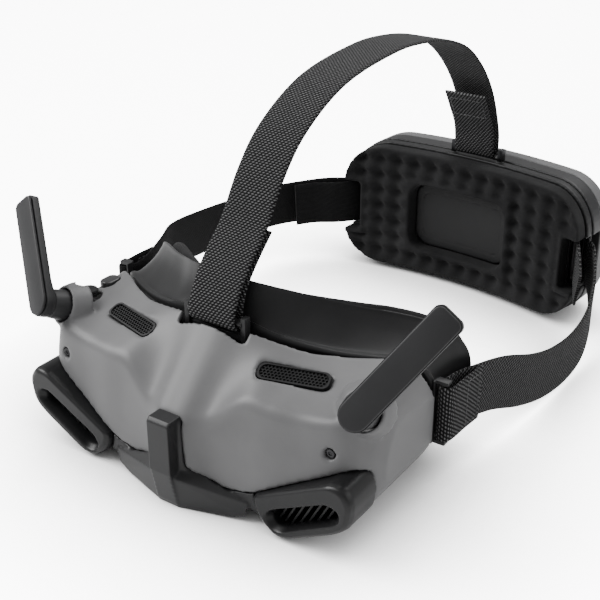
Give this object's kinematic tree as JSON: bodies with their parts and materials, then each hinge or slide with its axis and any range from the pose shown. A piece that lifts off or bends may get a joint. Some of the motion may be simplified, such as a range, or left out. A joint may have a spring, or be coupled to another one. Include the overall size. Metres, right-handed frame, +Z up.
{
  "type": "fpv goggles",
  "caption": "Video goggles with folding blade antennas, air scoops, a soft light shield, adjustable eyepieces, three head straps and a battery pack behind the head.",
  "frame": {"origin": "on the resting plane, on the flat underside of the lower trim, under the middle of the front casing", "axes": "+X to the wearer's left, +Y from the front face back to the battery pack, +Z up"},
  "size_m": [0.2269, 0.2981, 0.1621],
  "materials": {
    "shell": "fine satin texture",
    "trim": "satin",
    "black": "satin",
    "mesh": "honeycomb perforated, semi-gloss",
    "rubber": "matt soft-touch",
    "foam": "open-cell foam",
    "cloth": "woven webbing",
    "steel": "brushed",
    "heat_metal": "anodised",
    "glass": "polished",
    "board": "solder mask",
    "pack_grey": "satin",
    "cell_wrap": "foil wrap"
  },
  "bodies": {
    "headset": {"front_shell": "shell", "lower_trim": "trim", "antenna_hub_left": "trim", "antenna_hub_right": "trim", "top_loop": "trim", "strap_lug_left": "trim", "strap_lug_right": "trim", "pack_middle_band": "trim", "scoop_left": "black", "scoop_right": "black", "scoop_fins_left": "black", "scoop_fins_right": "black", "eyepiece_plate": "black", "fan_housing": "black", "joystick_base": "black", "pack_inner_plate": "black", "pack_front_cover": "black", "vent_mesh_left": "mesh", "vent_mesh_right": "mesh", "light_shield": "rubber", "face_pad": "foam", "pack_foam": "foam", "top_strap": "cloth", "side_strap_left": "cloth", "side_strap_right": "cloth", "shell_screw_left": "steel", "shell_screw_right": "steel", "charge_port": "steel", "pack_end_bar_left": "steel", "pack_end_bar_right": "steel", "pack_top_loop": "steel", "heat_sink": "heat_metal", "proximity_window": "glass", "charge_lights": "glass", "main_board": "board", "pack_board": "board", "pack_rear_shell": "pack_grey", "cell_upper": "cell_wrap", "cell_lower": "cell_wrap"},
    "antenna_arm_left": {"antenna_cover_left": "trim", "antenna_blade_left": "trim", "antenna_element_left": "board"},
    "antenna_arm_right": {"antenna_cover_right": "trim", "antenna_blade_right": "trim", "antenna_element_right": "board"},
    "eyepiece_left": {"lens_barrel_left": "black", "micro_display_left": "board"},
    "eyepiece_right": {"lens_barrel_right": "black", "micro_display_right": "board"},
    "lens_left": {"eye_lens_left": "glass"},
    "lens_right": {"eye_lens_right": "glass"},
    "knob_left": {"focus_knob_left": "black"},
    "knob_right": {"focus_knob_right": "black"},
    "fan": {"fan_rotor": "trim"},
    "stick_ring": {"joystick_ring": "trim"},
    "stick_stem": {"joystick_stem": "trim"},
    "stick_cap": {"joystick_cap": "black"},
    "back_key": {"back_button": "trim"},
    "power_key": {"power_button": "trim"}
  },
  "joints": [
    {"name": "antenna_fold_left", "type": "hinge", "parent": "headset", "child": "antenna_arm_left", "pos_m": [0.082, -0.0011, 0.0665], "axis": [0.2505, -0.8718, 0.4209], "range_deg": [-4, 126]},
    {"name": "antenna_fold_right", "type": "hinge", "parent": "headset", "child": "antenna_arm_right", "pos_m": [-0.082, -0.0011, 0.0665], "axis": [0.2505, 0.8718, -0.4209], "range_deg": [-19, 111]},
    {"name": "eye_spacing_left", "type": "slide", "parent": "headset", "child": "eyepiece_left", "axis": [1, 0, 0], "range_m": [-0.004, 0.004]},
    {"name": "focus_turn_left", "type": "hinge", "parent": "eyepiece_left", "child": "knob_left", "pos_m": [0.032, 0.027, 0.0036], "axis": [0, 0, 1], "range_deg": [-100, 100]},
    {"name": "lens_travel_left", "type": "slide", "parent": "eyepiece_left", "child": "lens_left", "axis": [0, 0.9135, 0.4067], "range_m": [-0.0021, 0.0021]},
    {"name": "eye_spacing_right", "type": "slide", "parent": "headset", "child": "eyepiece_right", "axis": [-1, 0, 0], "range_m": [-0.004, 0.004]},
    {"name": "focus_turn_right", "type": "hinge", "parent": "eyepiece_right", "child": "knob_right", "pos_m": [-0.032, 0.027, 0.0036], "axis": [0, 0, 1], "range_deg": [-100, 100]},
    {"name": "lens_travel_right", "type": "slide", "parent": "eyepiece_right", "child": "lens_right", "axis": [0, 0.9135, 0.4067], "range_m": [-0.0021, 0.0021]},
    {"name": "fan_spin", "type": "hinge", "parent": "headset", "child": "fan", "pos_m": [0, 0.0115, 0.0495], "axis": [0, -0.7071, 0.7071], "continuous": true},
    {"name": "stick_tilt_side", "type": "hinge", "parent": "headset", "child": "stick_ring", "pos_m": [-0.0765, 0.0255, 0.0564], "axis": [0, 1, 0], "range_deg": [-8, 8], "stiffness_Nm_per_rad": 0.05},
    {"name": "stick_tilt_fore", "type": "hinge", "parent": "stick_ring", "child": "stick_stem", "pos_m": [-0.0765, 0.0255, 0.0564], "axis": [1, 0, 0], "range_deg": [-8, 8], "stiffness_Nm_per_rad": 0.05},
    {"name": "stick_press", "type": "slide", "parent": "stick_stem", "child": "stick_cap", "axis": [0, 0, -1], "range_m": [0, 0.0008], "stiffness_N_per_m": 600},
    {"name": "back_key_press", "type": "slide", "parent": "headset", "child": "back_key", "axis": [0, 0, -1], "range_m": [0, 0.0008], "stiffness_N_per_m": 600},
    {"name": "power_key_press", "type": "slide", "parent": "headset", "child": "power_key", "axis": [-0.0767, -0.9971, 0], "range_m": [0, 0.0006], "stiffness_N_per_m": 600}
  ]
}
